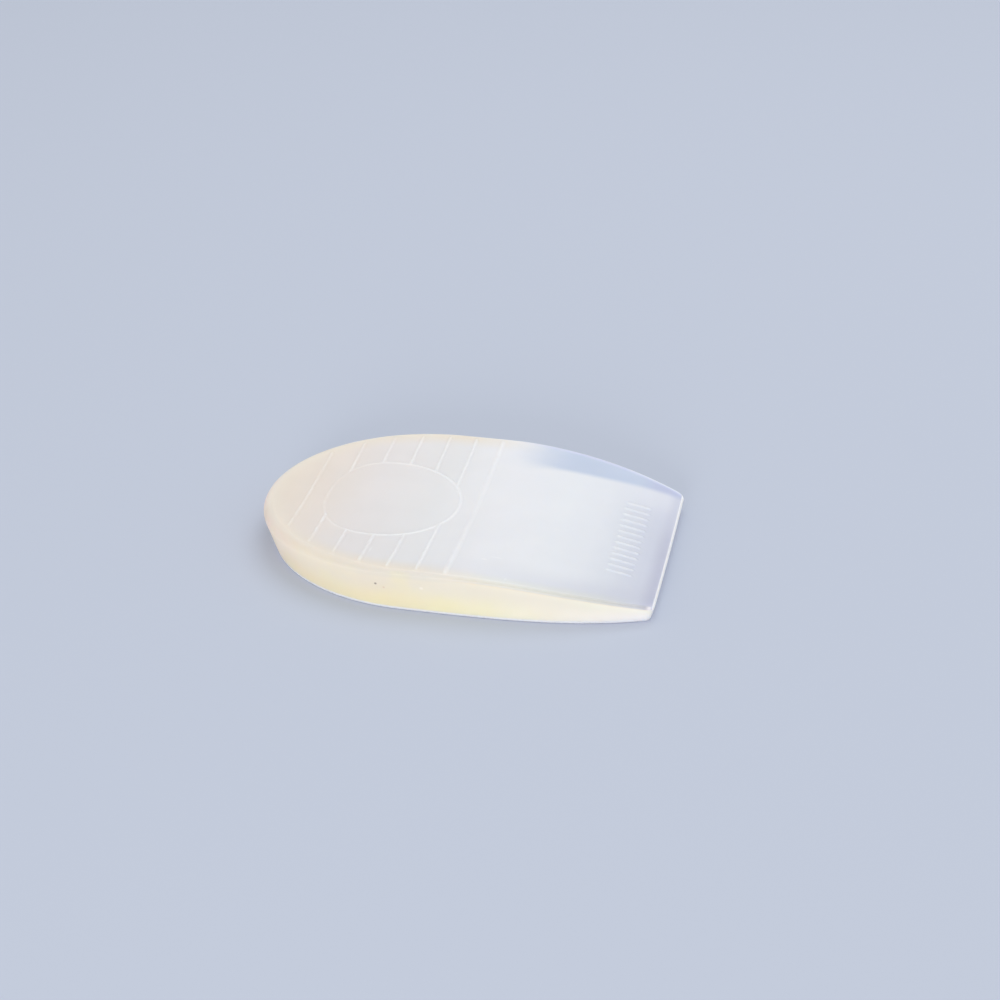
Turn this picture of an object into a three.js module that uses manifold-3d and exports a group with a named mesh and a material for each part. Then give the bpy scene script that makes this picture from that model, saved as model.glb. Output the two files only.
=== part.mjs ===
// A silicone heel lift: one soft moulding, thick under the heel and thin at its front edge.
// Sizes are in millimetres. +X runs from the back of the heel to the front edge and +Z is up.
// The origin lies under the middle of the lift, on the surface that it rests on.
import * as THREE from "three";
import { mergeVertices } from "three/addons/utils/BufferGeometryUtils.js";
import Module from "manifold-3d";

// Plan, as the rim shows it from above
const LENGTH = 96;
const WIDTH = 67;
const FRONT_WIDTH = 52.5;
const WIDEST_FROM_HEEL = 39;
// How far the rounding of each front corner reaches along both edges
const FRONT_CORNER_ROUNDING = 1.8;

// Heights above the underside
const HEEL_HEIGHT = 9.9;
const SIDE_HEIGHT = 10.6;
const FRONT_HEIGHT = 3.9;
const HEEL_RISE_LENGTH = 28;
const WEDGE_START = 53.5;

// How far the foot of the wall stands in from the rim
const HEEL_FLARE = 2.5;
const SIDE_FLARE = 0.8;
const HEEL_FLARE_LENGTH = 48;

// Rounding of the edges
const HEEL_EDGE_RADIUS = 2.4;
const SIDE_EDGE_RADIUS = 0.9;
const FRONT_EDGE_RADIUS = 0.4;
const UNDERSIDE_EDGE_RADIUS = 0.5;

// Dish in the top, below a straight line between the two rims
const HEEL_DISH = 1.6;
const FRONT_DISH = 0.8;

// Raised ring under the heel: a half circle in front of its centre and a blunter half behind
const RING_FROM_HEEL = 29;
const RING_WIDTH = 34.6;
const RING_BACK_LENGTH = 14.1;
const RING_BACK_POWER = 2.4;

// Raised cross ribs
const FIRST_RIB_FROM_HEEL = 10.4;
const RIB_PITCH = 6.65;
const RIB_COUNT = 7;
const RIB_TO_EDGE_ROUNDING = 1.2;

// Raised bars near the front edge
const BAR_COUNT = 13;
const BAR_PITCH = 2.6;
const BAR_LENGTH = 5;
const BAR_FROM_FRONT = 7;

// Section of the raised lines
const LINE_TOP_WIDTH = 0.5;
const LINE_DRAFT = 0.5;
const RING_HEIGHT = 0.5;
const RIB_HEIGHT = 0.4;
const BAR_HEIGHT = 0.4;
const LINE_ROOT = 0.8;

// Powers of the two tapers: 1 is straight, and more starts more gently
const SIDE_TAPER_POWER = 3.3;
const WEDGE_POWER = 1.65;

// Fineness of the facets
const HEEL_STEPS = 20;
const SIDE_STEPS = 14;
const CORNER_STEPS = 4;
const FRONT_STEPS = 7;
const WALL_STEPS = 2;
const EDGE_STEPS = 4;
const RING_STEPS = 48;
const RIB_STEP = 5;

const halfWidth = WIDTH / 2;
const halfFrontWidth = FRONT_WIDTH / 2;
const { clamp, lerp } = THREE.MathUtils;

// 0 at the start, 1 at the end, with the given power between
function share(x, start, end, power) {
  return clamp((x - start) / (end - start), 0, 1) ** power;
}

// Half of the width at a distance from the back of the heel
function sideAt(x) {
  if (x < WIDEST_FROM_HEEL) {
    const back = 1 - Math.max(x, 0) / WIDEST_FROM_HEEL;
    return halfWidth * Math.sqrt(1 - back * back);
  }
  const taper = share(x, WIDEST_FROM_HEEL, LENGTH, SIDE_TAPER_POWER);
  return halfWidth - (halfWidth - halfFrontWidth) * taper;
}

// Height of the rim: a short rise from the heel, a level stretch, then the wedge
function rimHeight(x) {
  const toLevel = 1 - share(x, 0, HEEL_RISE_LENGTH, 1);
  const wedge = share(x, WEDGE_START, LENGTH, WEDGE_POWER);
  return SIDE_HEIGHT - (SIDE_HEIGHT - HEEL_HEIGHT) * toLevel ** 2 - (SIDE_HEIGHT - FRONT_HEIGHT) * wedge;
}

// 1 along the middle of the dish and 0 at the rim
function bowl(x, y) {
  if (x < WIDEST_FROM_HEEL) {
    const back = 1 - x / WIDEST_FROM_HEEL;
    return clamp(1 - back ** 2 - (y / halfWidth) ** 2, 0, 1);
  }
  return clamp(1 - (y / sideAt(x)) ** 2, 0, 1);
}

// Height of the top surface before its raised lines
function topHeight(x, y) {
  const depth = lerp(HEEL_DISH, FRONT_DISH, share(x, WIDEST_FROM_HEEL, LENGTH, 1));
  return rimHeight(x) - depth * bowl(x, y);
}

// Radius of the rounded top edge
function edgeRadius(x) {
  if (x < WIDEST_FROM_HEEL) {
    return lerp(HEEL_EDGE_RADIUS, SIDE_EDGE_RADIUS, share(x, 0, WIDEST_FROM_HEEL, 1));
  }
  return lerp(SIDE_EDGE_RADIUS, FRONT_EDGE_RADIUS, share(x, WIDEST_FROM_HEEL, LENGTH, 1));
}

// How far the foot of the wall stands in
function flareAt(x) {
  const fromHeel = 1 - share(x, 0, HEEL_FLARE_LENGTH, 1);
  return SIDE_FLARE + (HEEL_FLARE - SIDE_FLARE) * fromHeel ** 2;
}

// One side of the rim from the back of the heel to the middle of the front edge
function rimSide() {
  const points = [];
  for (let i = 0; i <= HEEL_STEPS; i++) {
    const angle = (i / HEEL_STEPS) * (Math.PI / 2);
    points.push(new THREE.Vector2(WIDEST_FROM_HEEL * (1 - Math.cos(angle)), halfWidth * Math.sin(angle)));
  }
  const beforeCorner = LENGTH - FRONT_CORNER_ROUNDING;
  for (let i = 1; i < SIDE_STEPS; i++) {
    const x = lerp(WIDEST_FROM_HEEL, beforeCorner, i / SIDE_STEPS);
    points.push(new THREE.Vector2(x, sideAt(x)));
  }
  const cornerStart = new THREE.Vector2(beforeCorner, sideAt(beforeCorner));
  const corner = new THREE.Vector2(LENGTH, halfFrontWidth);
  const cornerEnd = new THREE.Vector2(LENGTH, halfFrontWidth - FRONT_CORNER_ROUNDING);
  points.push(...new THREE.QuadraticBezierCurve(cornerStart, corner, cornerEnd).getPoints(CORNER_STEPS));
  for (let i = 1; i <= FRONT_STEPS; i++) {
    points.push(new THREE.Vector2(LENGTH, cornerEnd.y * (1 - i / FRONT_STEPS)));
  }
  return points;
}

// The whole rim, anticlockwise from above, starting at the back of the heel
function rimOutline() {
  const side = rimSide();
  const mirrored = side.map((p) => new THREE.Vector2(p.x, -p.y));
  return [...mirrored, ...side.slice(1, -1).reverse()];
}

const rim = rimOutline();
const middle = new THREE.Vector2(LENGTH / 2, 0);

// Distance from the middle to the rim's tangent, which makes an inset of one width all round
const reach = rim.map((point, i) => {
  const before = rim[(i + rim.length - 1) % rim.length];
  const after = rim[(i + 1) % rim.length];
  const along = after.clone().sub(before).normalize();
  return point.clone().sub(middle).dot(new THREE.Vector2(along.y, -along.x));
});

// A point of the rim moved in by a distance
function insetPoint(i, inset) {
  return middle.clone().lerp(rim[i], 1 - inset / reach[i]);
}

// A ring of points, one for each point of the rim
function ring(place) {
  return rim.map((point, i) => place(point, i));
}

// Rings from the underside up the wall and over the rounded edge
function wallRings() {
  const upright = (p, z) => new THREE.Vector3(p.x, p.y, z);
  const edgeFoot = (p) => topHeight(p.x, p.y) - edgeRadius(p.x);
  const rings = [ring((p, i) => upright(insetPoint(i, flareAt(p.x) + UNDERSIDE_EDGE_RADIUS), 0))];
  for (let step = 0; step <= WALL_STEPS; step++) {
    const up = step / WALL_STEPS;
    rings.push(ring((p, i) => upright(
      insetPoint(i, flareAt(p.x) * (1 - up)),
      lerp(UNDERSIDE_EDGE_RADIUS, edgeFoot(p), up),
    )));
  }
  for (let step = 1; step <= EDGE_STEPS; step++) {
    const angle = (step / EDGE_STEPS) * (Math.PI / 2);
    rings.push(ring((p, i) => {
      const radius = edgeRadius(p.x);
      const at = insetPoint(i, radius * (1 - Math.cos(angle)));
      return upright(at, topHeight(at.x, at.y) - radius * (1 - Math.sin(angle)));
    }));
  }
  return rings;
}

// The lift without its raised lines: walls, a flat underside and a top in rows from side to side
function bodyGeometry() {
  const points = [];
  const triangles = [];
  const quad = (a, b, c, d) => triangles.push(a, b, c, a, c, d);
  const rings = wallRings().map((loop) => loop.map((p) => points.push(p) - 1));
  const count = rim.length;

  for (let r = 0; r + 1 < rings.length; r++) {
    for (let i = 0; i < count; i++) {
      const next = (i + 1) % count;
      quad(rings[r][i], rings[r][next], rings[r + 1][next], rings[r + 1][i]);
    }
  }

  const foot = rings[0].map((index) => new THREE.Vector2(points[index].x, points[index].y));
  for (const [a, b, c] of THREE.ShapeUtils.triangulateShape(foot, [])) {
    triangles.push(rings[0][a], rings[0][c], rings[0][b]);
  }

  const edge = rings.at(-1);
  const cells = 2 * FRONT_STEPS;
  const frontRow = count / 2 - FRONT_STEPS;
  let row = null;
  for (let k = 1; k <= frontRow; k++) {
    const from = points[edge[k]];
    const to = points[edge[count - k]];
    const nextRow = Array.from({ length: cells + 1 }, (_, j) => {
      if (k === frontRow || j === 0) return edge[k + j];
      if (j === cells) return edge[count - k];
      const at = from.clone().lerp(to, j / cells);
      at.z = topHeight(at.x, at.y);
      return points.push(at) - 1;
    });
    for (let j = 0; j < cells; j++) {
      if (row) quad(row[j], nextRow[j], nextRow[j + 1], row[j + 1]);
      else triangles.push(edge[0], nextRow[j], nextRow[j + 1]);
    }
    row = nextRow;
  }
  return indexedGeometry(points, triangles);
}

function indexedGeometry(points, triangles) {
  const geometry = new THREE.BufferGeometry().setFromPoints(points);
  geometry.setIndex(triangles);
  return geometry;
}

// A raised line along points on the top. A loop closes on itself.
function raisedLine(points, height, loop = false) {
  const count = points.length;
  const sections = points.map((point, i) => {
    const before = loop ? points[(i + count - 1) % count] : points[Math.max(i - 1, 0)];
    const after = loop ? points[(i + 1) % count] : points[Math.min(i + 1, count - 1)];
    const along = after.clone().sub(before).normalize();
    const left = new THREE.Vector2(-along.y, along.x);
    const top = LINE_TOP_WIDTH / 2;
    const root = top + (height + LINE_ROOT) * LINE_DRAFT;
    return [[-root, -LINE_ROOT], [root, -LINE_ROOT], [top, height], [-top, height]].map(([aside, lift]) => {
      const at = point.clone().addScaledVector(left, aside);
      return new THREE.Vector3(at.x, at.y, topHeight(at.x, at.y) + lift);
    });
  });
  const corners = sections[0].length;
  const triangles = [];
  const spans = loop ? count : count - 1;
  for (let s = 0; s < spans; s++) {
    const here = s * corners;
    const ahead = ((s + 1) % count) * corners;
    for (let c = 0; c < corners; c++) {
      const next = (c + 1) % corners;
      triangles.push(here + c, here + next, ahead + next, here + c, ahead + next, ahead + c);
    }
  }
  if (!loop) {
    const end = (count - 1) * corners;
    triangles.push(0, 2, 1, 0, 3, 2, end, end + 1, end + 2, end, end + 2, end + 3);
  }
  return indexedGeometry(sections.flat(), triangles);
}

// Points from one side to the other at one distance from the heel
function crossPoints(x, from, to) {
  const steps = Math.max(1, Math.ceil(Math.abs(to - from) / RIB_STEP));
  return Array.from({ length: steps + 1 }, (_, i) => (
    new THREE.Vector2(x, lerp(from, to, i / steps))
  ));
}

// Half of the ring's width at a distance from the heel, or 0 beside the ring
function ringSideAt(x) {
  const halfRing = RING_WIDTH / 2;
  const behind = x < RING_FROM_HEEL;
  const along = Math.abs(x - RING_FROM_HEEL) / (behind ? RING_BACK_LENGTH : halfRing);
  const power = behind ? RING_BACK_POWER : 2;
  return along < 1 ? halfRing * (1 - along ** power) ** (1 / power) : 0;
}

function ringLine() {
  const halfRing = RING_WIDTH / 2;
  const points = Array.from({ length: RING_STEPS }, (_, i) => {
    const angle = (i / RING_STEPS) * 2 * Math.PI;
    const along = Math.cos(angle);
    const x = along < 0
      ? RING_FROM_HEEL - RING_BACK_LENGTH * (-along) ** (2 / RING_BACK_POWER)
      : RING_FROM_HEEL + halfRing * along;
    return new THREE.Vector2(x, Math.sign(Math.sin(angle)) * ringSideAt(x));
  });
  return raisedLine(points, RING_HEIGHT, true);
}

// How far to each side a rib runs: up to the rounding of the top edge
function ribEnd(x) {
  const margin = edgeRadius(x) + RIB_TO_EDGE_ROUNDING;
  if (x >= WIDEST_FROM_HEEL) return sideAt(x) - margin;
  const back = (WIDEST_FROM_HEEL - x) / (WIDEST_FROM_HEEL - margin);
  return (halfWidth - margin) * Math.sqrt(Math.max(0, 1 - back * back));
}

// Ribs beside the ring start at it, and the others run right across
function ribLines() {
  const lines = [];
  for (let i = 0; i < RIB_COUNT; i++) {
    const x = FIRST_RIB_FROM_HEEL + i * RIB_PITCH;
    const end = ribEnd(x);
    const start = ringSideAt(x);
    if (start > 0) {
      lines.push(raisedLine(crossPoints(x, start, end), RIB_HEIGHT));
      lines.push(raisedLine(crossPoints(x, -end, -start), RIB_HEIGHT));
    } else {
      lines.push(raisedLine(crossPoints(x, -end, end), RIB_HEIGHT));
    }
  }
  return lines;
}

function barLines() {
  const from = LENGTH - BAR_FROM_FRONT - BAR_LENGTH;
  return Array.from({ length: BAR_COUNT }, (_, i) => {
    const y = (i - (BAR_COUNT - 1) / 2) * BAR_PITCH;
    return raisedLine([new THREE.Vector2(from, y), new THREE.Vector2(from + BAR_LENGTH, y)], BAR_HEIGHT);
  });
}

const wasm = await Module();
wasm.setup();

function toSolid(geometry) {
  const merged = mergeVertices(geometry);
  return new wasm.Manifold(new wasm.Mesh({
    numProp: 3,
    vertProperties: merged.attributes.position.array,
    triVerts: new Uint32Array(merged.index.array),
  }));
}

function toGeometry(solid) {
  const mesh = solid.getMesh();
  const geometry = new THREE.BufferGeometry();
  geometry.setAttribute("position", new THREE.BufferAttribute(mesh.vertProperties, 3));
  geometry.setIndex(new THREE.BufferAttribute(mesh.triVerts, 1));
  geometry.computeVertexNormals();
  return geometry;
}

function liftGeometry() {
  let solid = toSolid(bodyGeometry());
  for (const line of [ringLine(), ...ribLines(), ...barLines()]) {
    solid = solid.add(toSolid(line));
  }
  return toGeometry(solid);
}

const silicone = new THREE.MeshStandardMaterial({
  name: "silicone",
  color: "#e6e4dc",
  roughness: 0.45,
  metalness: 0,
});

const heelLift = new THREE.Mesh(liftGeometry(), silicone);
heelLift.name = "heel_lift";
heelLift.position.x = -LENGTH / 2;

const lift = new THREE.Group();
lift.add(heelLift);

export default lift;
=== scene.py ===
import math
from typing import NamedTuple

import bpy
import numpy as np
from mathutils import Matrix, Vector
from mathutils.geometry import delaunay_2d_cdt


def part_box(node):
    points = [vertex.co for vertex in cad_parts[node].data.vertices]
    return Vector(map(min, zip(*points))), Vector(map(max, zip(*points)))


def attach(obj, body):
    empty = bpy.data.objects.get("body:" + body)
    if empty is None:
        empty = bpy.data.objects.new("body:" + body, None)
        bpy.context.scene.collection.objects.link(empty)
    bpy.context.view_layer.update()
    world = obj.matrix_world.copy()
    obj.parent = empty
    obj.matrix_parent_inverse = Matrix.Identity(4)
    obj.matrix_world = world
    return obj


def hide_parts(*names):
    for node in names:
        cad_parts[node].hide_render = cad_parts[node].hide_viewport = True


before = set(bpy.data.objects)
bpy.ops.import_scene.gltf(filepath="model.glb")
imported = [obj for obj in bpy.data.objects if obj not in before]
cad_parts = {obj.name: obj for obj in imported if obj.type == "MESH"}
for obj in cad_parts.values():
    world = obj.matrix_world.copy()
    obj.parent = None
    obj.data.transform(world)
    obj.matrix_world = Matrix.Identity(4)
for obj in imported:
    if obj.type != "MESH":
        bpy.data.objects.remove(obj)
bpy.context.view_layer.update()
MM = 0.001

# Overall sizes come from the solid that this piece stands for
low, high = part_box("heel_lift")
LENGTH = (high.x - low.x) / MM
WIDTH = (high.y - low.y) / MM

# Plan
FRONT_WIDTH = 52.5
WIDEST_FROM_HEEL = 39.0
FRONT_CORNER_ROUNDING = 1.8
SIDE_TAPER_POWER = 3.3

# Heights above the underside
HEEL_HEIGHT = 9.9
SIDE_HEIGHT = 10.6
FRONT_HEIGHT = 3.9
HEEL_RISE_LENGTH = 28.0
WEDGE_START = 53.5
WEDGE_POWER = 1.65

# Lean of the wall and rounding of the edges
HEEL_FLARE = 2.5
SIDE_FLARE = 0.8
HEEL_FLARE_LENGTH = 48.0
HEEL_EDGE_RADIUS = 2.4
SIDE_EDGE_RADIUS = 0.9
FRONT_EDGE_RADIUS = 0.4
UNDERSIDE_EDGE_RADIUS = 0.5

# Dish in the top
HEEL_DISH = 1.6
FRONT_DISH = 0.8

# Raised ring under the heel: a half circle in front of its centre and a blunter half behind
RING_FROM_HEEL = 29.0
RING_WIDTH = 34.6
RING_BACK_LENGTH = 14.1
RING_BACK_POWER = 2.4

# Raised ribs
FIRST_RIB_FROM_HEEL = 10.4
RIB_PITCH = 6.65
RIB_TO_EDGE_ROUNDING = 1.2
LAST_RIB_BREADTH = 1.6

# Raised bars near the front edge
BAR_COUNT = 13
BAR_PITCH = 2.6
BAR_LENGTH = 5.0
BAR_FROM_FRONT = 7.0
BAR_BREADTH = 1.25

# Section of a raised line. Milky silicone hides most of a low line, so each is lower than in the solid.
LINE_TOP_HALF = 0.12
LINE_FOOT_HALF = 0.54
RING_HEIGHT = 0.17
RIB_HEIGHT = 0.24
BAR_HEIGHT = 0.22
FAINTEST_HEIGHT = 0.4


class LineTone(NamedTuple):
    """How clearly a raised line shows at its inner and its outer end."""

    inner: float
    outer: float


# From the heel on
RIB_TONES = [
    LineTone(inner=0.5, outer=0.3),
    LineTone(inner=1.0, outer=0.25),
    LineTone(inner=1.0, outer=0.25),
    LineTone(inner=1.0, outer=0.5),
    LineTone(inner=1.0, outer=0.7),
    LineTone(inner=0.9, outer=1.0),
    LineTone(inner=0.3, outer=0.8),
]
BAR_TONE = LineTone(inner=0.6, outer=0.6)

# The ring is faint at its back, and the lines over the heel are fainter on the far side
RING_BACK_TONE = 0.25
RING_FAINT_LENGTH = 3.0
RING_CLEARING_LENGTH = 12.0
FAR_TONE = 0.5
FAR_TONE_START = -4.0
FAR_TONE_PASSAGE = 8.0

# Bluish band inside the far rim: painted refraction, a blue ground seen through the far wall
FAR_BAND_NARROWING = 0.3
FAR_BAND_NARROWS_FROM = 76.0
FAR_BAND_NARROWEST_FROM_FRONT = 3.0
FAR_BAND_NARROWING_POWER = 1.5

# Fineness of the mesh
RIM_POINTS = 440
FINE_STEPS = 600
FINE_RING_STEPS = 3000
CORNER_EXTRA_POINTS = 3
CORNER_REACH = 3.0
ARC_STEPS = 8
WALL_STEPS = 8
UNDERSIDE_RINGS = (0.75, 0.5, 0.25)
FIELD_SPACING = 0.9
FIELD_TO_LINE = 0.3
FIELD_TO_RIM = 0.25
LINE_SPACING = 0.4
LINE_TO_RING = 0.08
LINE_ROWS = (-0.6, -0.48, -0.36, -0.24, -0.12, 0.0, 0.12, 0.24, 0.36, 0.48, 0.6)
ROWS_PAST_END = (0.3, 0.6, 1.0)
SAME_POINT = 1e-5
NOT_ZERO = 1e-6


def share(x, start, end, power=1.0):
    return np.clip((x - start) / (end - start), 0.0, 1.0) ** power


def smooth(t):
    t = np.clip(t, 0.0, 1.0)
    return t * t * (3 - 2 * t)


def side_at(x):
    """Half of the width at a distance from the back of the heel."""
    back = 1 - np.clip(x, 0, WIDEST_FROM_HEEL) / WIDEST_FROM_HEEL
    heel = WIDTH / 2 * np.sqrt(np.clip(1 - back * back, 0, 1))
    taper = share(x, WIDEST_FROM_HEEL, LENGTH, SIDE_TAPER_POWER)
    front = WIDTH / 2 - (WIDTH - FRONT_WIDTH) / 2 * taper
    return np.where(x < WIDEST_FROM_HEEL, heel, front)


def rim_height(x):
    """A short rise from the heel, a level stretch, then the wedge."""
    to_level = 1 - share(x, 0, HEEL_RISE_LENGTH)
    wedge = share(x, WEDGE_START, LENGTH, WEDGE_POWER)
    return SIDE_HEIGHT - (SIDE_HEIGHT - HEEL_HEIGHT) * to_level**2 - (SIDE_HEIGHT - FRONT_HEIGHT) * wedge


def top_height(x, y):
    """Height of the dished top without its raised lines."""
    back = 1 - x / WIDEST_FROM_HEEL
    heel_bowl = 1 - back**2 - (y / (WIDTH / 2)) ** 2
    front_bowl = 1 - (y / np.maximum(side_at(x), NOT_ZERO)) ** 2
    bowl = np.clip(np.where(x < WIDEST_FROM_HEEL, heel_bowl, front_bowl), 0, 1)
    depth = HEEL_DISH + (FRONT_DISH - HEEL_DISH) * share(x, WIDEST_FROM_HEEL, LENGTH)
    return rim_height(x) - depth * bowl


def far_band_reach(x):
    """How far the painted band of blue seen through the far wall reaches in from the far rim: as far as the
    rim is high, and less in front.
    """
    narrowest = LENGTH - FAR_BAND_NARROWEST_FROM_FRONT
    narrowing = share(x, FAR_BAND_NARROWS_FROM, narrowest, FAR_BAND_NARROWING_POWER)
    return rim_height(x) * (1 - FAR_BAND_NARROWING * narrowing)


def edge_radius(x):
    heel = HEEL_EDGE_RADIUS + (SIDE_EDGE_RADIUS - HEEL_EDGE_RADIUS) * share(x, 0, WIDEST_FROM_HEEL)
    front = SIDE_EDGE_RADIUS + (FRONT_EDGE_RADIUS - SIDE_EDGE_RADIUS) * share(x, WIDEST_FROM_HEEL, LENGTH)
    return np.where(x < WIDEST_FROM_HEEL, heel, front)


def flare_at(x):
    """How far the foot of the wall stands in from the rim."""
    from_heel = 1 - share(x, 0, HEEL_FLARE_LENGTH)
    return SIDE_FLARE + (HEEL_FLARE - SIDE_FLARE) * from_heel**2


def ring_side_at(x):
    """Half of the ring's width at a distance from the heel, or 0 beside the ring."""
    behind = x < RING_FROM_HEEL
    along = np.abs(x - RING_FROM_HEEL) / np.where(behind, RING_BACK_LENGTH, RING_WIDTH / 2)
    power = np.where(behind, RING_BACK_POWER, 2.0)
    return RING_WIDTH / 2 * np.clip(1 - along**power, 0, 1) ** (1 / power)


def loop_lengths(loop):
    """A loop with its first point again at the end, and the length of each step along it."""
    closed = np.concatenate([loop, loop[:1]])
    return closed, np.hypot(*np.diff(closed, axis=0).T)


def points_along(closed, steps, count):
    """Points at even distances along a closed loop whose steps count as long as given."""
    along = np.concatenate([[0], np.cumsum(steps)])
    at = np.linspace(0, along[-1], count, endpoint=False)
    return np.stack([np.interp(at, along, closed[:, k]) for k in (0, 1)], 1)


def ring_points(spacing):
    angle = np.linspace(0, 2 * math.pi, FINE_RING_STEPS, endpoint=False)
    along = np.cos(angle)
    behind = -RING_BACK_LENGTH * np.abs(along) ** (2 / RING_BACK_POWER)
    x = RING_FROM_HEEL + np.where(along < 0, behind, RING_WIDTH / 2 * along)
    loop = np.stack([x, np.sign(np.sin(angle)) * ring_side_at(x)], 1)
    closed, steps = loop_lengths(loop)
    return points_along(closed, steps, int(steps.sum() / spacing))


RING = ring_points(LINE_SPACING)


class Line(NamedTuple):
    """A straight raised line on the top."""

    start: tuple
    end: tuple
    height: float
    tone: LineTone
    breadth: float = 1.0


def rib_end(x):
    margin = float(edge_radius(x)) + RIB_TO_EDGE_ROUNDING
    if x >= WIDEST_FROM_HEEL:
        return float(side_at(x)) - margin
    back = (WIDEST_FROM_HEEL - x) / (WIDEST_FROM_HEEL - margin)
    return (WIDTH / 2 - margin) * math.sqrt(max(0.0, 1 - back * back))


def ribs():
    """Each rib is two lines, from the ring or else the middle out to the rim."""
    lines = []
    for i, tone in enumerate(RIB_TONES):
        x = FIRST_RIB_FROM_HEEL + i * RIB_PITCH
        end = rib_end(x)
        start = float(ring_side_at(x))
        breadth = LAST_RIB_BREADTH if i == len(RIB_TONES) - 1 else 1.0
        for side in (-1, 1):
            lines.append(Line((x, side * start), (x, side * end), RIB_HEIGHT, tone, breadth))
    return lines


def bars():
    start = LENGTH - BAR_FROM_FRONT - BAR_LENGTH
    lines = []
    for i in range(BAR_COUNT):
        y = (i - (BAR_COUNT - 1) / 2) * BAR_PITCH
        lines.append(Line((start, y), (start + BAR_LENGTH, y), BAR_HEIGHT, BAR_TONE, BAR_BREADTH))
    return lines


LINES = ribs() + bars()


def distance_to_line(x, y, start, end):
    ax, ay = start
    dx, dy = end[0] - ax, end[1] - ay
    t = np.clip(((x - ax) * dx + (y - ay) * dy) / (dx * dx + dy * dy), 0, 1)
    return np.hypot(x - ax - t * dx, y - ay - t * dy)


def distance_to_loop(x, y, loop):
    nearest = np.full(len(x), np.inf)
    for a, b in zip(loop, np.roll(loop, -1, 0)):
        nearest = np.minimum(nearest, distance_to_line(x, y, a, b))
    return nearest


def line_profile(distance):
    """1 on the crest of a raised line and 0 beside it."""
    return 1 - smooth((distance - LINE_TOP_HALF) / (LINE_FOOT_HALF - LINE_TOP_HALF))


def relief(x, y):
    """Height of the raised lines, and how clearly they show."""
    height = np.zeros(len(x))
    tone = np.zeros(len(x))

    def add(distance, line_height, line_tone):
        profile = line_profile(distance)
        shown = line_height * (FAINTEST_HEIGHT + (1 - FAINTEST_HEIGHT) * line_tone)
        np.maximum(height, shown * profile, out=height)
        np.maximum(tone, line_tone * profile, out=tone)

    ring_back = RING_FROM_HEEL - RING_BACK_LENGTH
    clear = smooth((x - ring_back - RING_FAINT_LENGTH) / RING_CLEARING_LENGTH)
    add(distance_to_loop(x, y, RING), RING_HEIGHT, RING_BACK_TONE + (1 - RING_BACK_TONE) * clear)
    for line in LINES:
        length = math.dist(line.start, line.end)
        along = np.hypot(x - line.start[0], y - line.start[1]) / length
        line_tone = line.tone.inner + (line.tone.outer - line.tone.inner) * smooth(along)
        add(distance_to_line(x, y, line.start, line.end) / line.breadth, line.height, line_tone)
    far = smooth((y - FAR_TONE_START) / FAR_TONE_PASSAGE) * (x < WEDGE_START)
    return height, tone * (1 - (1 - FAR_TONE) * far)


def half_rim(fine):
    """Points of the rim on one side, from the back of the heel to the middle of the front edge."""
    angle = np.linspace(0, math.pi / 2, fine)
    heel = np.stack([WIDEST_FROM_HEEL * (1 - np.cos(angle)), WIDTH / 2 * np.sin(angle)], 1)
    x = np.linspace(WIDEST_FROM_HEEL, LENGTH - FRONT_CORNER_ROUNDING, fine)[1:]
    side = np.stack([x, side_at(x)], 1)
    t = np.linspace(0, 1, fine)[1:, None]
    start = side[-1]
    corner = np.array([LENGTH, FRONT_WIDTH / 2])
    end = corner - np.array([0, FRONT_CORNER_ROUNDING])
    bend = (1 - t) ** 2 * start + 2 * t * (1 - t) * corner + t**2 * end
    front = np.stack([np.full(fine - 1, LENGTH), np.linspace(end[1], 0, fine)[1:]], 1)
    return np.concatenate([heel, side, bend, front])


def rim_outline():
    """Points of the rim, anticlockwise from the back of the heel, closer together at the front corners."""
    half = half_rim(FINE_STEPS)
    lower = half * [1, -1]
    closed, steps = loop_lengths(np.concatenate([lower, half[-2:0:-1]]))
    centre = (closed[1:] + closed[:-1]) / 2
    to_corner = np.hypot(centre[:, 0] - LENGTH, np.abs(centre[:, 1]) - FRONT_WIDTH / 2)
    density = 1 + CORNER_EXTRA_POINTS * np.exp(-((to_corner / CORNER_REACH) ** 2))
    return points_along(closed, steps * density, RIM_POINTS)


RIM = rim_outline()
MIDDLE = np.array([LENGTH / 2, 0.0])


def outward_from(loop):
    """Direction out of an anticlockwise loop at each of its points."""
    along = np.roll(loop, -1, 0) - np.roll(loop, 1, 0)
    along /= np.linalg.norm(along, axis=1)[:, None]
    return np.stack([along[:, 1], -along[:, 0]], 1)


# Distance from the middle to the rim's tangent at each point
REACH = ((RIM - MIDDLE) * outward_from(RIM)).sum(1)


def inset(distance):
    """The rim moved in by a distance, which may differ from point to point."""
    return MIDDLE + (RIM - MIDDLE) * (1 - distance / REACH)[:, None]


class Ring(NamedTuple):
    """A ring of points round the lift, and the values that the material reads there."""

    points: np.ndarray
    up_wall: np.ndarray
    below_edge: np.ndarray
    over_edge: np.ndarray
    from_rim: np.ndarray


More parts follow.
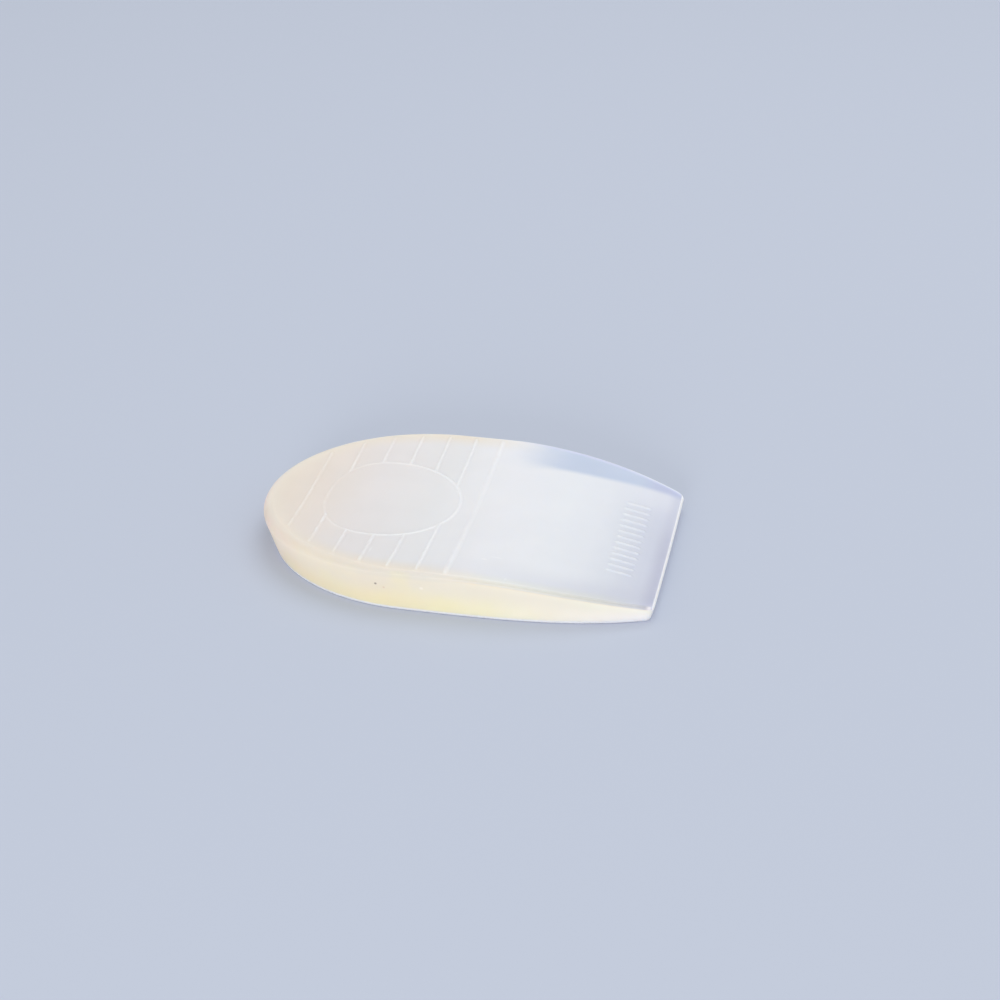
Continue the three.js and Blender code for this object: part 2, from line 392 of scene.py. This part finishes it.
def wall_rings():
    """Rings from the flat underside round its edge, up the wall and over the top edge."""
    x = RIM[:, 0]
    radius = edge_radius(x)
    flare = flare_at(x)
    crown = top_height(x, RIM[:, 1]) - radius
    lean = np.arctan2(flare, crown)
    high_z = crown - radius * np.sin(lean)
    high_inset = radius * (1 - np.cos(lean))
    rings = []

    def add(plan, z, up_wall, over_edge, from_rim):
        below_edge = np.maximum(high_z - z, 0.0) * (over_edge == 0)
        values = (np.broadcast_to(value, x.shape) for value in (up_wall, below_edge, over_edge, from_rim))
        rings.append(Ring(np.column_stack([plan, z]), *values))

    foot = UNDERSIDE_EDGE_RADIUS
    for angle in np.linspace(-math.pi / 2, 0, ARC_STEPS // 2 + 1):
        turn = angle + (-lean - angle) * (angle + math.pi / 2) / (math.pi / 2)
        plan = inset(flare + foot * (1 - np.cos(turn)))
        add(plan, foot * (1 + np.sin(turn)), 0.0, 0.0, 0.0)
    low_z = foot * (1 + np.sin(-lean))
    low_inset = flare + foot * (1 - np.cos(lean))
    for step in range(1, WALL_STEPS):
        up = step / WALL_STEPS
        plan = inset(low_inset + (high_inset - low_inset) * up)
        add(plan, low_z + (high_z - low_z) * up, up, 0.0, 0.0)
    for step in range(ARC_STEPS + 1):
        over = step / ARC_STEPS
        turn = -lean + (math.pi / 2 + lean) * over
        inward = radius * (1 - np.cos(turn))
        plan = inset(inward)
        z = top_height(plan[:, 0], plan[:, 1]) - radius * (1 - np.sin(turn))
        add(plan, z, 1.0, over, np.where(turn > 0, inward, 0.0))
    return rings


def inside_loop(points, loop, margin):
    """Which points lie inside a loop by at least a margin."""
    x, y = points.T
    inside = np.zeros(len(points), bool)
    for (ax, ay), (bx, by) in zip(loop, np.roll(loop, -1, 0)):
        crosses = (ay > y) != (by > y)
        with np.errstate(divide="ignore", invalid="ignore"):
            at = ax + (y - ay) / (by - ay) * (bx - ax)
        inside ^= crosses & (x < at)
    return inside & (distance_to_loop(x, y, loop) > margin)


def ring_rows():
    """Points along the raised ring and beside it."""
    outward = outward_from(RING)
    return np.concatenate([RING + aside * outward for aside in LINE_ROWS])


def line_rows(line):
    """Points along a straight raised line, beside it and round its ends."""
    start, end = np.array(line.start), np.array(line.end)
    length = np.linalg.norm(end - start)
    along = (end - start) / length
    left = np.array([-along[1], along[0]])
    inner = np.linspace(0, length, int(math.ceil(length / LINE_SPACING)) + 1)
    past_end = LINE_ROWS[-1] * line.breadth * np.array(ROWS_PAST_END)
    reach = np.concatenate([-past_end[::-1], inner, length + past_end])
    rows = [start + reach[:, None] * along + aside * line.breadth * left for aside in LINE_ROWS]
    points = np.concatenate(rows)
    return points[distance_to_loop(points[:, 0], points[:, 1], RING) > LINE_ROWS[-1] + LINE_TO_RING]


def field_points():
    """Points at an even spacing over the top, clear of the raised lines."""
    across = np.arange(0, LENGTH, FIELD_SPACING * math.sqrt(3) / 2)
    rows = []
    for k, x in enumerate(across):
        y = np.arange(-WIDTH / 2, WIDTH / 2, FIELD_SPACING) + (k % 2) * FIELD_SPACING / 2
        rows.append(np.stack([np.full(len(y), x), y], 1))
    field = np.concatenate(rows)
    clear = distance_to_loop(field[:, 0], field[:, 1], RING)
    for line in LINES:
        away = distance_to_line(field[:, 0], field[:, 1], line.start, line.end)
        clear = np.minimum(clear, away - LINE_ROWS[-1] * (line.breadth - 1))
    return field[clear > LINE_ROWS[-1] + FIELD_TO_LINE]


def top_points(loop):
    """Points over the top: rows along each raised line, and a wider field between the lines."""
    points = np.concatenate([ring_rows()] + [line_rows(line) for line in LINES] + [field_points()])
    return points[inside_loop(points, loop, FIELD_TO_RIM)]


def filled(loop, points):
    """Triangles over a loop and the points inside it."""
    coords = [Vector(p) for p in np.concatenate([loop, points])]
    border = [list(range(len(loop)))]
    inside_only = 1
    verts, _, faces, origins, _, _ = delaunay_2d_cdt(coords, [], border, inside_only, SAME_POINT)
    return np.array([tuple(v) for v in verts]), faces, origins


class Surface:
    """Points of the mesh, the values that the material reads at them, and faces."""

    def __init__(self):
        self.points = []
        self.values = {name: [] for name in (*Ring._fields[1:], "raised_line")}
        self.faces = []
        self.count = 0

    def add(self, points, **values):
        """Adds points, and gives the number of the first. A value that isn't given is 0."""
        first = self.count
        self.points.append(points)
        for name, parts in self.values.items():
            parts.append(np.broadcast_to(values.get(name, 0.0), len(points)))
        self.count += len(points)
        return first

    def join_rings(self, first, second):
        """Faces between two rings of the rim's points, given by where each ring starts."""
        here = np.arange(RIM_POINTS)
        ahead = np.roll(here, -1)
        self.faces += np.stack([first + here, first + ahead, second + ahead, second + here], 1).tolist()


def add_wall(surface, rings):
    """The wall and its rounded edges. Gives the number of the last ring's first point."""
    starts = [surface.add(**ring._asdict()) for ring in rings]
    for lower, upper in zip(starts, starts[1:]):
        surface.join_rings(lower, upper)
    return starts[-1]


def add_top(surface, edge, edge_start):
    """The dished top with its raised lines, inside the last ring of the wall."""
    plan, triangles, origins = filled(edge, top_points(edge))
    number = np.zeros(len(plan), int)
    fresh = []
    for k, origin in enumerate(origins):
        on_edge = [o for o in origin if o < RIM_POINTS]
        if on_edge:
            number[k] = edge_start + on_edge[0]
        else:
            number[k] = surface.count + len(fresh)
            fresh.append(plan[k])
    x, y = np.array(fresh).T
    height, tone = relief(x, y)
    surface.add(
        np.column_stack([x, y, top_height(x, y) + height]),
        up_wall=1.0,
        over_edge=1.0,
        from_rim=distance_to_loop(x, y, RIM),
        raised_line=tone,
    )
    surface.faces += [[int(number[i]) for i in face] for face in triangles]


def add_underside(surface, foot):
    """The flat underside, inside the first ring of the wall."""
    outer = 0
    for part in UNDERSIDE_RINGS:
        plan = MIDDLE + (foot[:, :2] - MIDDLE) * part
        inner = surface.add(np.column_stack([plan, np.zeros(RIM_POINTS)]), below_edge=SIDE_HEIGHT)
        surface.join_rings(inner, outer)
        outer = inner
    centre = surface.add(np.array([[*MIDDLE, 0.0]]), below_edge=SIDE_HEIGHT)
    here = range(RIM_POINTS)
    surface.faces += [[outer + (i + 1) % RIM_POINTS, outer + i, centre] for i in here]


def lift_mesh():
    rings = wall_rings()
    surface = Surface()
    edge_start = add_wall(surface, rings)
    add_top(surface, rings[-1].points[:, :2], edge_start)
    add_underside(surface, rings[0].points)

    co = np.concatenate(surface.points)
    values = {name: np.concatenate(parts) for name, parts in surface.values.items()}
    values["from_side"] = side_at(co[:, 0]) - np.abs(co[:, 1])
    values["past_far_band"] = values["from_side"] - far_band_reach(co[:, 0])
    co[:, 0] -= LENGTH / 2
    mesh = bpy.data.meshes.new("silicone_lift")
    mesh.from_pydata((co * MM).tolist(), [], surface.faces)
    mesh.validate()
    mesh.shade_smooth()
    for name, numbers in values.items():
        attribute = mesh.attributes.new(name, "FLOAT", "POINT")
        attribute.data.foreach_set("value", numbers.astype(np.float32))
    return mesh


lift = bpy.data.objects.new("silicone_lift", lift_mesh())
bpy.context.scene.collection.objects.link(lift)


def linear(red, green, blue):
    """A colour given as 0 to 255 on screen, as Blender's linear values."""
    parts = [c / 255 for c in (red, green, blue)]
    return tuple(c / 12.92 if c <= 0.04045 else ((c + 0.055) / 1.055) ** 2.4 for c in parts) + (1.0,)


class Limit(NamedTuple):
    """A measure, and where along it a tone is at nothing and at its full strength.

    Measures in millimetres are the place x, y and z, to_front from the front edge, from_side from the side
    at that x, from_rim over the top from the rim, and below_edge down the wall from its rounded edge.
    up_wall goes from 0 at the foot of the wall to 1, and over_edge from 0 to 1 over its rounded edge.
    """

    measure: str
    nothing: float
    full: float


class Tone(NamedTuple):
    """A colour to mix in, or to multiply by, where all of its limits let it through."""

    colour: tuple
    limits: tuple
    strength: float = 1.0
    blend: str = "MIX"


class Patches(NamedTuple):
    """Noise whose cells are about a grain across, eased between a low and a high value."""

    grain: float
    start: float
    end: float
    low: float
    high: float
    detail: float = 2.0


class Fleck(NamedTuple):
    """A small mark in the silicone: its centre and half sizes in millimetres."""

    centre: tuple
    half_sizes: tuple
    colour: tuple
    strength: float


# Tones of the milky silicone along the lift, each at a share of its length. The top grows darker and bluer
# towards the thin front, partly painted see-through of a blue ground beneath.
TOP_STOPS = [
    (0.03, linear(233, 222, 208)),
    (0.14, linear(233, 224, 216)),
    (0.26, linear(231, 227, 226)),
    (0.42, linear(231, 231, 232)),
    (0.58, linear(236, 237, 241)),
    (0.74, linear(234, 237, 242)),
    (0.82, linear(231, 234, 240)),
    (0.88, linear(223, 227, 235)),
    (0.95, linear(212, 216, 229)),
]
# The walls' cream, strongest low down, is partly the silicone's tint and partly painted glow of light
# scattered through it
WALL_LOW_STOPS = [
    (0.03, linear(244, 222, 204)),
    (0.16, linear(240, 224, 194)),
    (0.25, linear(236, 224, 191)),
    (0.36, linear(236, 223, 190)),
    (0.5, linear(240, 231, 197)),
    (0.63, linear(243, 236, 208)),
    (0.75, linear(243, 235, 217)),
    (0.97, linear(248, 241, 238)),
]
WALL_HIGH_STOPS = [
    (0.03, linear(245, 224, 212)),
    (0.16, linear(237, 226, 205)),
    (0.25, linear(232, 223, 206)),
    (0.36, linear(230, 221, 204)),
    (0.5, linear(233, 226, 210)),
    (0.75, linear(234, 228, 214)),
    (0.86, linear(236, 232, 218)),
    (0.97, linear(240, 236, 225)),
]

# Limits that several tones share
NEAR_SIDE = Limit("y", nothing=-4.0, full=-12.0)
FAR_SIDE = Limit("y", nothing=4.0, full=12.0)
THIN_PART = Limit("x", nothing=44.0, full=57.0)
BEHIND_FRONT_EDGE = Limit("to_front", nothing=0.8, full=2.0)
ALONG_FAR_BAND = Limit("x", nothing=50.0, full=70.5)

# Where the wall's upper stops take over from its lower ones, and where the top's tones take over from both
UPPER_WALL = Limit("up_wall", nothing=0.1, full=0.8)
TOP_ON_THICK_PART = Limit("over_edge", nothing=0.25, full=0.95)
TOP_ON_THIN_PART = Limit("below_edge", nothing=0.55, full=0.05)

# Tones on the wall, in the order in which they are laid
# Painted glow of light through the thin front edge, on its face and along its top
FRONT_EDGE_GLOW = linear(252, 253, 255)
WARM_CLOUD = linear(238, 229, 188)
WARM_CLOUD_LIMIT = Limit("x", nothing=75.0, full=50.0)
WALL_TONES = [
    # Painted shade just below the near edge of the thick part, cooler too, where the low front lamp lights
    # the upper wall more
    Tone(
        (0.93, 0.95, 1.0, 1.0),
        blend="MULTIPLY",
        limits=(
            NEAR_SIDE,
            Limit("x", nothing=20.0, full=42.0),
            Limit("x", nothing=58.0, full=46.0),
            Limit("below_edge", nothing=1.5, full=0.3),
        ),
    ),
    # Painted highlight: a light line along the foot, where the thin rounded foot of the wall catches the
    # light
    Tone(linear(255, 248, 254), strength=0.9, limits=(Limit("z", nothing=1.0, full=0.5),)),
    # Painted glow on the thin front face
    Tone(FRONT_EDGE_GLOW, limits=(Limit("to_front", nothing=0.8, full=0.3),)),
]

# Tones on the top that are laid before the far band
TONES_BEFORE_FAR_BAND = [
    # Grey towards the near side of the front part
    Tone(
        linear(204, 207, 219),
        strength=0.42,
        limits=(
            NEAR_SIDE,
            Limit("from_side", nothing=12.0, full=2.0),
            Limit("x", nothing=42.0, full=86.0),
        ),
    ),
    # Slightly warm inside the near rim
    Tone(
        (1.0, 0.99, 0.91, 1.0),
        blend="MULTIPLY",
        limits=(
            NEAR_SIDE,
            Limit("from_rim", nothing=4.0, full=0.6),
            Limit("x", nothing=44.0, full=58.0),
            Limit("x", nothing=96.0, full=82.0),
        ),
    ),
    # Light beside the far band
    Tone(
        linear(232, 234, 242),
        strength=0.6,
        limits=(
            Limit("y", nothing=10.0, full=22.0),
            Limit("x", nothing=76.0, full=88.0),
            Limit("to_front", nothing=1.0, full=3.5),
        ),
    ),
    # Darker behind the front edge
    Tone(
        linear(195, 198, 215),
        limits=(
            Limit("to_front", nothing=4.5, full=0.9),
            Limit("y", nothing=27.0, full=-3.0),
        ),
    ),
]

# The far band, painted refraction of a blue ground seen through the far wall, turns from blue to lavender
# near the front, and its inner border is less soft there
FAR_BAND = linear(199, 210, 229)
FAR_BAND_END = linear(194, 201, 225)
FAR_BAND_TURN = Limit("x", nothing=84.0, full=91.0)
FAR_BAND_SOFT_AT = 50.0
FAR_BAND_CLEAR_AT = 68.0
FAR_BAND_SOFTEST = 5.0
FAR_BAND_CLEAREST = 1.2

# Tones on the top that are laid after the far band
TONES_AFTER_FAR_BAND = [
    # Lavender far rim
    Tone(
        linear(212, 216, 243),
        strength=0.7,
        limits=(FAR_SIDE, ALONG_FAR_BAND, Limit("from_side", nothing=1.9, full=0.6)),
    ),
    # Painted highlight on the far rim's rounded edge towards the front corner
    Tone(
        linear(232, 241, 255),
        strength=0.8,
        limits=(
            FAR_SIDE,
            Limit("x", nothing=78.0, full=90.0),
            Limit("from_side", nothing=1.1, full=0.3),
        ),
    ),
    # Cream inside the rim of the heel
    Tone(
        linear(234, 226, 213),
        limits=(
            Limit("from_rim", nothing=6.5, full=0.5),
            Limit("x", nothing=64.0, full=38.0),
        ),
    ),
    # Painted highlight at the near front corner, where the top corner catches the light
    Tone(
        linear(246, 238, 236),
        strength=0.8,
        limits=(
            NEAR_SIDE,
            Limit("from_side", nothing=0.6, full=0.0),
            Limit("to_front", nothing=2.2, full=0.9),
        ),
    ),
    # Painted glow along the top of the thin front edge
    Tone(FRONT_EDGE_GLOW, limits=(Limit("to_front", nothing=0.65, full=0.3),)),
]

# Painted shade along the near top edge, where the rounded edge catches more light than the top and the
# wall, on the thick part and on the thin one
THICK_CREST_SHADE = (0.87, 0.87, 0.89, 1.0)
THIN_CREST_SHADE = (0.79, 0.765, 0.71, 1.0)
THIN_CREST_LIMITS = (
    Limit("from_rim", nothing=0.9, full=0.0),
    Limit("below_edge", nothing=0.5, full=0.1),
)
THIN_CREST_ON_WALL = 0.4
THIN_CREST_FULL_AT = 0.3
# Slight painted shade on the wall just below the thin part's near edge, which faces the low front lamp
THIN_LIP_SHADE = Tone(
    (0.99, 0.965, 0.93, 1.0),
    blend="MULTIPLY",
    limits=(
        NEAR_SIDE,
        THIN_PART,
        Limit("over_edge", nothing=0.5, full=0.1),
        Limit("below_edge", nothing=0.8, full=0.4),
        BEHIND_FRONT_EDGE,
    ),
)

FLECKS = [
    Fleck((34.7, -33.0, 6.4), (0.42, 2.0, 0.36), linear(138, 124, 112), 0.85),
    Fleck((36.6, -33.1, 5.7), (0.36, 2.0, 0.3), linear(214, 190, 168), 0.6),
    Fleck((45.2, -33.3, 6.6), (0.6, 2.0, 0.5), linear(251, 245, 236), 0.5),
    Fleck((57.2, -23.2, 10.0), (1.0, 0.35, 4.0), linear(248, 248, 250), 0.6),
    Fleck((59.8, -21.6, 10.0), (1.9, 0.3, 4.0), linear(246, 247, 250), 0.45),
    Fleck((31.4, -24.6, 10.0), (0.35, 1.8, 4.0), linear(244, 243, 243), 0.4),
    Fleck((63.6, -30.6, 10.0), (0.5, 0.9, 4.0), linear(240, 241, 243), 0.45),
]
FLECK_CORE = 0.35

# Raised lines painted lighter in uneven patches, partly as painted highlight where they catch the light and
# partly as paler, thicker silicone; milkiness and gloss
RAISED_LINE = linear(251, 252, 254)
LINE_HIGHLIGHT_PATCHES = Patches(grain=2.6, start=0.35, end=0.65, low=0.1, high=0.42)
CLOUDS = Patches(grain=9.0, start=0.45, end=0.7, low=0.0, high=0.3)
MOTTLE = Patches(grain=14.0, start=0.3, end=0.7, low=0.988, high=1.012, detail=3.0)
ROUGHNESS = Patches(grain=6.0, start=0.3, end=0.7, low=0.52, high=0.56)

# Fine grain of the moulded surface, and how light goes through the silicone
BUMP_GRAIN = 0.7
BUMP_DETAIL = 3.0
BUMP_ROUGHNESS = 0.6
BUMP_STRENGTH = 0.12
BUMP_HEIGHT = 0.05
SILICONE_IOR = 1.41
SCATTERED_SHARE = 1.0
SCATTER_BY_COLOUR = (1.0, 0.93, 0.86)
SCATTER_DEPTH = 2.5


class Nodes:
    """Short calls for making the material's nodes. Places are in millimetres from the heel."""

    def __init__(self, material):
        material.use_nodes = True
        self.tree = material.node_tree
        self.shader = self.tree.nodes["Principled BSDF"]
        coordinates = self.tree.nodes.new("ShaderNodeTexCoord")
        to_mm = self.tree.nodes.new("ShaderNodeVectorMath")
        to_mm.operation = "MULTIPLY_ADD"
        self.put(to_mm.inputs[0], coordinates.outputs["Object"])
        self.put(to_mm.inputs[1], (1 / MM, 1 / MM, 1 / MM))
        self.put(to_mm.inputs[2], (LENGTH / 2, 0.0, 0.0))
        self.place = to_mm.outputs[0]
        split = self.tree.nodes.new("ShaderNodeSeparateXYZ")
        self.put(split.inputs[0], self.place)
        self.measures = dict(zip("xyz", split.outputs))
        self.measures["to_front"] = self.math("SUBTRACT", LENGTH, self.measures["x"])
        for name in (*Ring._fields[1:], "from_side"):
            self.measures[name] = self.attribute(name)
        self.limits = {}

    def put(self, socket, value):
        if isinstance(value, bpy.types.NodeSocket):
            self.tree.links.new(value, socket)
        else:
            socket.default_value = value

    def attribute(self, name):
        node = self.tree.nodes.new("ShaderNodeAttribute")
        node.attribute_name = name
        return node.outputs["Fac"]

    def math(self, operation, a, b=0.0):
        node = self.tree.nodes.new("ShaderNodeMath")
        node.operation = operation
        self.put(node.inputs[0], a)
        self.put(node.inputs[1], b)
        return node.outputs[0]

    def product(self, *values):
        result = values[0]
        for value in values[1:]:
            result = self.math("MULTIPLY", result, value)
        return result

    def ease(self, value, start, end, low=0.0, high=1.0):
        """Low at start and high at end, smooth between."""
        node = self.tree.nodes.new("ShaderNodeMapRange")
        node.interpolation_type = "SMOOTHSTEP"
        self.put(node.inputs["Value"], value)
        self.put(node.inputs["From Min"], start)
        self.put(node.inputs["From Max"], end)
        self.put(node.inputs["To Min"], low)
        self.put(node.inputs["To Max"], high)
        return node.outputs["Result"]

    def fade(self, value, start, end):
        """1 at start and 0 at end, smooth between."""
        return self.ease(value, start, end, 1.0, 0.0)

    def within(self, limit):
        """0 where a limit's measure is at nothing and 1 where it is full, made once for each limit."""
        if limit not in self.limits:
            value = self.measures[limit.measure]
            if limit.nothing < limit.full:
                self.limits[limit] = self.ease(value, limit.nothing, limit.full)
            else:
                self.limits[limit] = self.fade(value, limit.full, limit.nothing)
        return self.limits[limit]

    def mix_number(self, share_of_b, a, b):
        node = self.tree.nodes.new("ShaderNodeMix")
        self.put(node.inputs["Factor"], share_of_b)
        self.put(node.inputs["A"], a)
        self.put(node.inputs["B"], b)
        return node.outputs["Result"]

    def mix(self, share_of_b, a, b, blend="MIX"):
        node = self.tree.nodes.new("ShaderNodeMix")
        node.data_type = "RGBA"
        node.blend_type = blend
        self.put(node.inputs["Factor"], share_of_b)
        self.put(node.inputs["A"], a)
        self.put(node.inputs["B"], b)
        return node.outputs["Result"]

    def lay(self, colour, tones):
        """Tones laid over a colour, one after another."""
        for tone in tones:
            amount = self.product(tone.strength, *(self.within(limit) for limit in tone.limits))
            colour = self.mix(amount, colour, tone.colour, tone.blend)
        return colour

    def brighten(self, colour, factor):
        node = self.tree.nodes.new("ShaderNodeVectorMath")
        node.operation = "SCALE"
        self.put(node.inputs[0], colour)
        self.put(node.inputs["Scale"], factor)
        return node.outputs[0]

    def along_lift(self, stops):
        """The colours of stops, each at a share of the lift's length."""
        node = self.tree.nodes.new("ShaderNodeValToRGB")
        elements = node.color_ramp.elements
        while len(elements) > 1:
            elements.remove(elements[-1])
        elements[0].position, elements[0].color = stops[0]
        for position, colour in stops[1:]:
            elements.new(position).color = colour
        self.put(node.inputs["Fac"], self.math("DIVIDE", self.measures["x"], LENGTH))
        return node.outputs["Color"]

    def noise(self, grain, detail, roughness=0.5):
        """Noise whose cells are about a grain across, in millimetres."""
        node = self.tree.nodes.new("ShaderNodeTexNoise")
        self.put(node.inputs["Vector"], self.place)
        self.put(node.inputs["Scale"], 1 / grain)
        self.put(node.inputs["Detail"], detail)
        self.put(node.inputs["Roughness"], roughness)
        return node.outputs["Fac"]

    def patches(self, patches):
        noise = self.noise(patches.grain, patches.detail)
        return self.ease(noise, patches.start, patches.end, patches.low, patches.high)

    def vector_math(self, operation, a, b=(0.0, 0.0, 0.0)):
        node = self.tree.nodes.new("ShaderNodeVectorMath")
        node.operation = operation
        self.put(node.inputs[0], a)
        self.put(node.inputs[1], b)
        return node.outputs

    def spot(self, centre, half_sizes):
        """1 in the middle of an ellipsoid and 0 outside it."""
        away = self.vector_math("SUBTRACT", self.place, centre)[0]
        scaled = self.vector_math("DIVIDE", away, half_sizes)[0]
        return self.fade(self.vector_math("LENGTH", scaled)["Value"], FLECK_CORE, 1.0)


def wall_colour(paint):
    low_tones = paint.along_lift(WALL_LOW_STOPS)
    high_tones = paint.along_lift(WALL_HIGH_STOPS)
    colour = paint.mix(paint.within(UPPER_WALL), low_tones, high_tones)
    clouds = paint.product(paint.patches(CLOUDS), paint.within(WARM_CLOUD_LIMIT))
    colour = paint.mix(clouds, colour, WARM_CLOUD)
    return paint.lay(colour, WALL_TONES)


def top_colour(paint):
    colour = paint.lay(paint.along_lift(TOP_STOPS), TONES_BEFORE_FAR_BAND)
    # Painted refraction: the band of blue seen through the far wall
    softness = paint.ease(
        paint.measures["x"],
        FAR_BAND_SOFT_AT,
        FAR_BAND_CLEAR_AT,
        FAR_BAND_SOFTEST,
        FAR_BAND_CLEAREST,
    )
    in_band = paint.fade(paint.attribute("past_far_band"), paint.product(-1.0, softness), softness)
    amount = paint.product(paint.within(FAR_SIDE), paint.within(ALONG_FAR_BAND), in_band)
    colour = paint.mix(amount, colour, paint.mix(paint.within(FAR_BAND_TURN), FAR_BAND, FAR_BAND_END))
    return paint.lay(colour, TONES_AFTER_FAR_BAND)


def crest_shaded(paint, colour):
    """The colour with painted shade along the near top edge and the wall just below it, where the lamps
    light them more.
    """
    thin = paint.within(THIN_PART)
    over_edge = paint.measures["over_edge"]
    # Four times the product is 1 half way over the edge
    thick_crest = paint.product(4.0, over_edge, paint.math("SUBTRACT", 1.0, over_edge))
    thin_crest = paint.product(
        paint.ease(over_edge, 0.0, THIN_CREST_FULL_AT, THIN_CREST_ON_WALL, 1.0),
        *(paint.within(limit) for limit in THIN_CREST_LIMITS),
    )
    crest = paint.product(
        paint.within(NEAR_SIDE),
        paint.within(BEHIND_FRONT_EDGE),
        paint.mix_number(thin, thick_crest, thin_crest),
    )
    colour = paint.mix(crest, colour, paint.mix(thin, THICK_CREST_SHADE, THIN_CREST_SHADE), "MULTIPLY")
    return paint.lay(colour, [THIN_LIP_SHADE])


def base_colour(paint):
    on_top = paint.mix_number(
        paint.within(THIN_PART),
        paint.within(TOP_ON_THICK_PART),
        paint.within(TOP_ON_THIN_PART),
    )
    colour = paint.mix(on_top, wall_colour(paint), top_colour(paint))
    for fleck in FLECKS:
        mark = paint.product(fleck.strength, paint.spot(fleck.centre, fleck.half_sizes))
        colour = paint.mix(mark, colour, fleck.colour)
    colour = crest_shaded(paint, colour)
    # Painted highlight on the raised lines, together with their paler silicone, in uneven patches
    line_highlight_and_paleness = paint.product(paint.patches(LINE_HIGHLIGHT_PATCHES), paint.attribute("raised_line"))
    colour = paint.mix(line_highlight_and_paleness, colour, RAISED_LINE)
    return paint.brighten(colour, paint.patches(MOTTLE))


def silicone_material():
    material = bpy.data.materials.new("milky_silicone")
    paint = Nodes(material)
    grain = paint.tree.nodes.new("ShaderNodeBump")
    paint.put(grain.inputs["Strength"], BUMP_STRENGTH)
    paint.put(grain.inputs["Distance"], BUMP_HEIGHT * MM)
    paint.put(grain.inputs["Height"], paint.noise(BUMP_GRAIN, BUMP_DETAIL, BUMP_ROUGHNESS))
    shader = paint.shader.inputs
    paint.put(shader["Base Color"], base_colour(paint))
    paint.put(shader["Normal"], grain.outputs["Normal"])
    paint.put(shader["Roughness"], paint.patches(ROUGHNESS))
    paint.put(shader["IOR"], SILICONE_IOR)
    paint.put(shader["Subsurface Weight"], SCATTERED_SHARE)
    paint.put(shader["Subsurface Radius"], SCATTER_BY_COLOUR)
    paint.put(shader["Subsurface Scale"], SCATTER_DEPTH * MM)
    return material


lift.data.materials.append(silicone_material())
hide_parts("heel_lift")
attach(lift, "root")

# Floor
FLOOR_HALF = 3.0
FLOOR_LOWERING = 0.00002
FLOOR_COLOUR = (0.55, 0.6, 0.71, 1)
FLOOR_ROUGHNESS = 0.9


def make_floor():
    mesh = bpy.data.meshes.new("floor")
    corners = [(x * FLOOR_HALF, y * FLOOR_HALF, 0) for x, y in ((-1, -1), (1, -1), (1, 1), (-1, 1))]
    mesh.from_pydata(corners, [], [(0, 1, 2, 3)])
    floor = bpy.data.objects.new("floor", mesh)
    floor.location.z = -FLOOR_LOWERING
    bpy.context.scene.collection.objects.link(floor)
    paint = bpy.data.materials.new("pale_floor")
    paint.use_nodes = True
    shader = paint.node_tree.nodes["Principled BSDF"]
    shader.inputs["Base Color"].default_value = FLOOR_COLOUR
    shader.inputs["Roughness"].default_value = FLOOR_ROUGHNESS
    mesh.materials.append(paint)


# Camera at the photograph's viewing angle
AZIMUTH = 12.1
ELEVATION = 28.8
TARGET = Vector((0.0015, 0.0148, 0.006))
DISTANCE = 0.4943
SENSOR_WIDTH = 36
FOCAL_LENGTH = 74.18
SHIFT_X = 0.014
SHIFT_Y = -0.010
CLIP_START = 0.01


def make_camera():
    azimuth = math.radians(AZIMUTH)
    elevation = math.radians(ELEVATION)
    back = Vector((
        math.sin(azimuth) * math.cos(elevation),
        -math.cos(azimuth) * math.cos(elevation),
        math.sin(elevation),
    ))
    data = bpy.data.cameras.new("camera")
    data.sensor_width = SENSOR_WIDTH
    data.lens = FOCAL_LENGTH
    data.shift_x = SHIFT_X
    data.shift_y = SHIFT_Y
    data.clip_start = CLIP_START
    camera = bpy.data.objects.new("camera", data)
    camera.location = TARGET + back * DISTANCE
    camera.rotation_mode = "QUATERNION"
    camera.rotation_quaternion = (-back).to_track_quat("-Z", "Y")
    bpy.context.scene.collection.objects.link(camera)
    bpy.context.scene.camera = camera


class Lamp(NamedTuple):
    """A disc of light aimed at the lift. Place and size are in metres, and power in watts."""

    name: str
    place: tuple
    size: float
    power: float


LAMPS = [
    Lamp("overhead", place=(0.15, 0.35, 0.9), size=0.8, power=2.3),
    Lamp("low_front", place=(0.0, -1.05, 0.2), size=0.36, power=5.0),
]
LAMP_COLOUR = (1.0, 0.99, 0.97)
WORLD_COLOUR = (0.97, 0.98, 1.0, 1)
WORLD_STRENGTH = 0.72


def make_lamp(lamp):
    data = bpy.data.lights.new(lamp.name, "AREA")
    data.shape = "DISK"
    data.size = lamp.size
    data.energy = lamp.power
    data.color = LAMP_COLOUR
    light = bpy.data.objects.new(lamp.name, data)
    light.location = lamp.place
    light.rotation_mode = "QUATERNION"
    light.rotation_quaternion = (-Vector(lamp.place)).to_track_quat("-Z", "Y")
    bpy.context.scene.collection.objects.link(light)


def make_world():
    world = bpy.data.worlds.new("studio")
    world.use_nodes = True
    background = world.node_tree.nodes["Background"]
    background.inputs["Color"].default_value = WORLD_COLOUR
    background.inputs["Strength"].default_value = WORLD_STRENGTH
    bpy.context.scene.world = world


make_floor()
make_camera()
for lamp in LAMPS:
    make_lamp(lamp)
make_world()
bpy.context.scene.view_settings.view_transform = "Standard"
